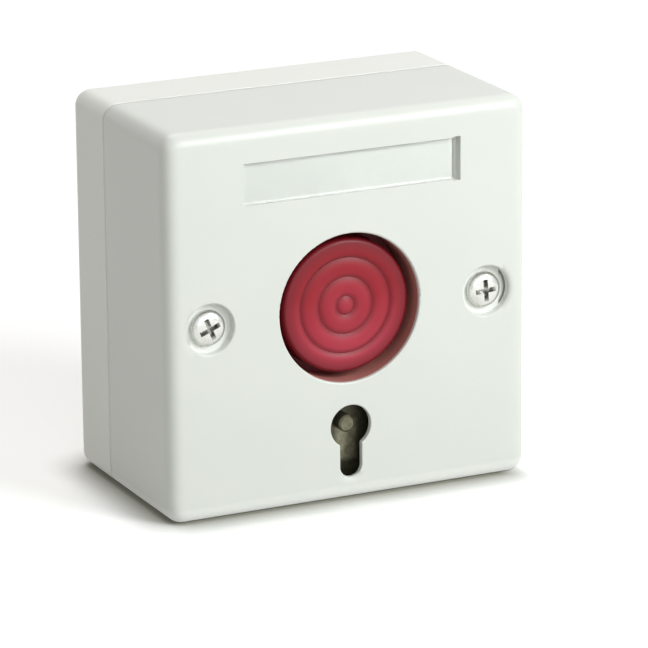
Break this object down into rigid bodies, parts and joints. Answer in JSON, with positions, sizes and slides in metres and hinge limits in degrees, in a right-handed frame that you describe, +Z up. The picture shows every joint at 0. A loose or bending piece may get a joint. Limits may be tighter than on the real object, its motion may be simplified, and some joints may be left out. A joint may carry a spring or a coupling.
{
  "type": "panic button",
  "caption": "Square white surface-mounted push button box with a latching red ringed button, a keyhole for the reset key, a label strip and a changeover switch inside.",
  "frame": {"origin": "on the underside, in the middle of the width and of the depth", "axes": "+X to the right as seen from the front, +Y from the front face to the wall, +Z up"},
  "size_m": [0.086, 0.051, 0.086],
  "materials": {
    "white_cover": "satin moulded plastic, faintly cool white",
    "white_box": "satin moulded plastic",
    "clear_strip": "clear polished plastic",
    "label_card": "plain white card",
    "red_button": "glossy red moulded plastic",
    "nylon": "natural nylon",
    "sleeve_plastic": "dark maroon moulded plastic",
    "black_plastic": "black moulded plastic",
    "cream_plastic": "cream moulded insulation",
    "zinc_screw": "bright zinc plate",
    "plated_steel": "zinc-plated sheet steel",
    "spring_steel": "bright spring wire",
    "dark_steel": "dull yellow-grey steel",
    "brass": "turned brass",
    "contact_strip": "rolled spring brass",
    "silver": "silver contact faces"
  },
  "bodies": {
    "case": {"front_cover": "white_cover", "back_box": "white_box", "cover_screws": "zinc_screw", "screw_inserts": "brass", "label_window": "clear_strip", "label_card": "label_card", "button_sleeve": "sleeve_plastic", "return_spring": "spring_steel", "mechanism_frame": "black_plastic", "frame_screws": "zinc_screw", "lock_plate": "dark_steel", "lock_post": "dark_steel", "lock_screws": "dark_steel", "slide_spring": "spring_steel", "switch_base": "cream_plastic", "switch_screws": "zinc_screw", "common_leaf": "contact_strip", "closed_contact": "contact_strip", "open_contact": "contact_strip", "contact_rivets": "silver", "terminal_clamps": "plated_steel", "terminal_screws": "brass"},
    "button": {"button_cap": "red_button", "plunger": "nylon", "catch_clip": "spring_steel"},
    "release": {"release_slide": "plated_steel"}
  },
  "joints": [
    {"name": "button_press", "type": "slide", "parent": "case", "child": "button", "axis": [0, 1, 0], "range_m": [0, 0.004], "stiffness_N_per_m": 400, "springref_m": -0.004, "deforming": ["return_spring", "catch_clip", "common_leaf"]},
    {"name": "release_lift", "type": "slide", "parent": "case", "child": "release", "axis": [0, 0, 1], "range_m": [0, 0.0034], "stiffness_N_per_m": 300, "springref_m": -0.003, "deforming": ["slide_spring"]}
  ]
}
